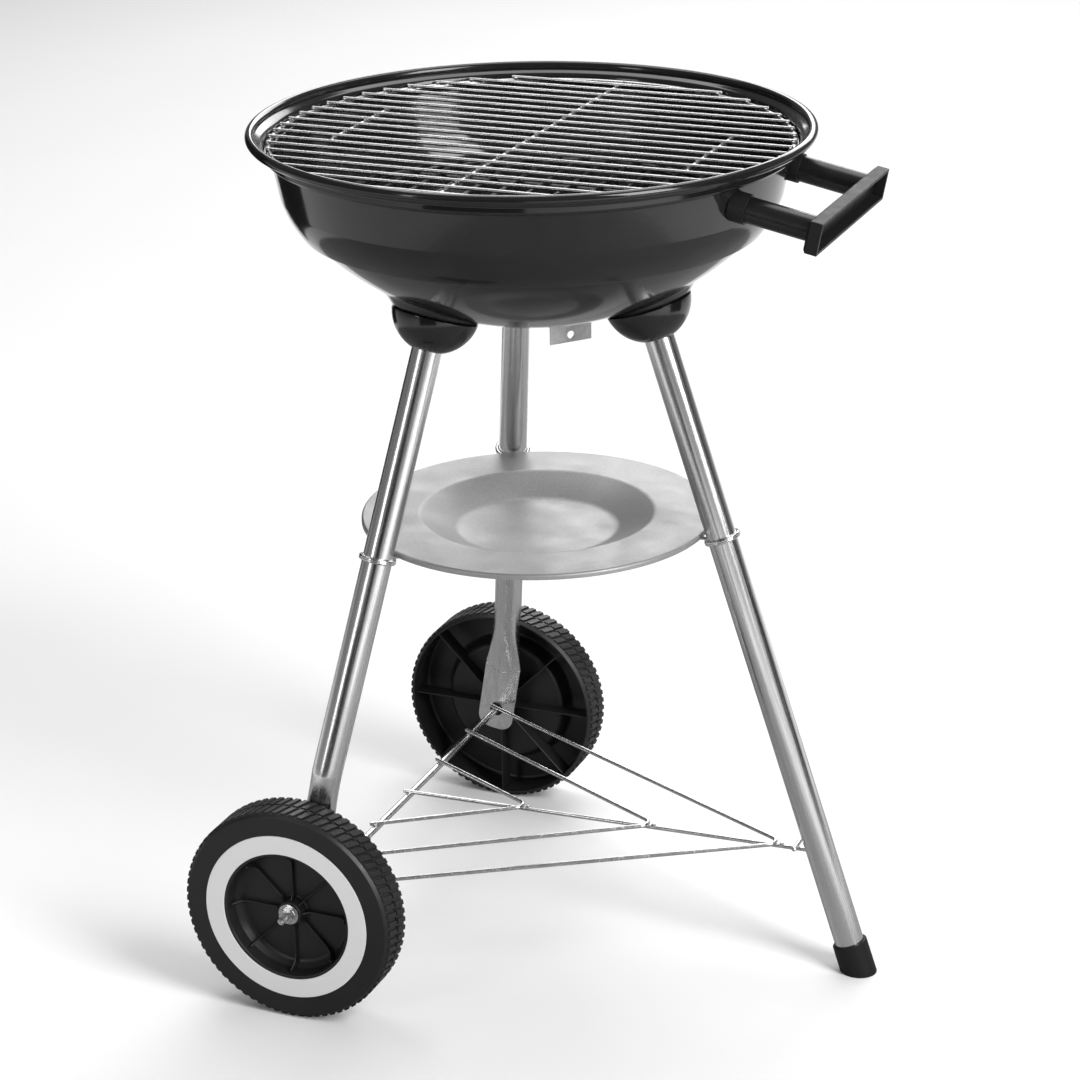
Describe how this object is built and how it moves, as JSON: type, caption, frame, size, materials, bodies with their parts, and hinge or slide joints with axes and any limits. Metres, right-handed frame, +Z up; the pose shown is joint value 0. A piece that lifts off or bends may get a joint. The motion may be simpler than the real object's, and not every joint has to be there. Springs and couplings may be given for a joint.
{
  "type": "kettle charcoal grill",
  "caption": "Kettle charcoal grill without its lid: enamelled bowl with a round cooking grate and side handle, on splayed tube legs with an axle, wheels, wire rack and ash tray.",
  "frame": {"origin": "middle of the object's footprint, on the ground", "axes": "+Z up; +X towards the foot leg and the handle; Y along the axle, with the rear wheel at +Y"},
  "size_m": [0.5352, 0.508, 0.714],
  "materials": {
    "black_enamel": "glossy black vitreous enamel",
    "black_paint": "semi-gloss black paint on steel tube",
    "bright_tube": "bright plated tube, lightly drawn lengthwise",
    "bright_wire": "bright plated wire",
    "chromed_wire": "bright chromed grate wire",
    "plain_wire": "plain drawn steel wire",
    "tray_steel": "satin grey pressed steel",
    "galvanised_steel": "dull galvanised sheet",
    "zinc_fasteners": "bright zinc plate",
    "cup_plastic": "glossy black moulding",
    "black_plastic": "satin black moulding",
    "wheel_plastic": "satin black hard plastic",
    "pale_trim": "pale grey satin ring"
  },
  "bodies": {
    "frame": {"bowl": "black_enamel", "damper_pivot": "zinc_fasteners", "damper_washer": "zinc_fasteners", "damper_nut": "zinc_fasteners", "leg_foot": "bright_tube", "leg_rear": "bright_tube", "leg_front": "bright_tube", "leg_inserts": "zinc_fasteners", "leg_washers": "zinc_fasteners", "leg_bolts": "zinc_fasteners", "leg_cup_foot": "cup_plastic", "leg_cup_front": "cup_plastic", "leg_cup_rear": "cup_plastic", "foot_cap": "black_plastic", "axle": "bright_wire", "axle_bushes": "black_plastic", "axle_washers": "zinc_fasteners", "axle_nuts": "zinc_fasteners", "rack_spine": "bright_wire", "rack_chevron_wide": "bright_wire", "rack_chevron_middle": "bright_wire", "rack_chevron_narrow": "bright_wire", "rack_stop_pin": "bright_wire", "ash_tray": "tray_steel", "tray_clip_foot": "bright_wire", "tray_clip_front": "bright_wire", "tray_clip_rear": "bright_wire", "handle_tube_front": "black_paint", "handle_tube_rear": "black_paint", "handle_saddles": "black_plastic", "handle_pads": "black_plastic", "handle_bolts": "zinc_fasteners", "handle_inserts": "zinc_fasteners", "handle_grip": "black_plastic"},
    "front_wheel": {"wheel_front": "wheel_plastic", "wheel_trim_front": "pale_trim"},
    "rear_wheel": {"wheel_rear": "wheel_plastic", "wheel_trim_rear": "pale_trim"},
    "damper": {"damper_plate": "galvanised_steel", "damper_tab": "galvanised_steel", "damper_rivets": "zinc_fasteners"},
    "cooking_grate": {"cooking_grate_ring": "chromed_wire", "cooking_grate_bars": "chromed_wire", "cooking_grate_cross_wires": "chromed_wire"},
    "charcoal_grate": {"charcoal_grate_ring": "plain_wire", "charcoal_grate_bars": "plain_wire", "charcoal_grate_cross_wires": "plain_wire"}
  },
  "joints": [
    {"name": "front_wheel_spin", "type": "hinge", "parent": "frame", "child": "front_wheel", "pos_m": [-0.16615, -0.226, 0.0933], "axis": [0, 1, 0], "continuous": true},
    {"name": "rear_wheel_spin", "type": "hinge", "parent": "frame", "child": "rear_wheel", "pos_m": [-0.16615, 0.226, 0.0933], "axis": [0, 1, 0], "continuous": true},
    {"name": "damper_turn", "type": "hinge", "parent": "frame", "child": "damper", "pos_m": [-0.03765, 0, 0.5581], "axis": [0, 0, 1], "range_deg": [0, 60]},
    {"name": "cooking_grate_lift", "type": "slide", "parent": "frame", "child": "cooking_grate", "axis": [0, 0, 1], "range_m": [0, 0.25]},
    {"name": "charcoal_grate_lift", "type": "slide", "parent": "frame", "child": "charcoal_grate", "axis": [0, 0, 1], "range_m": [0, 0.04]}
  ]
}
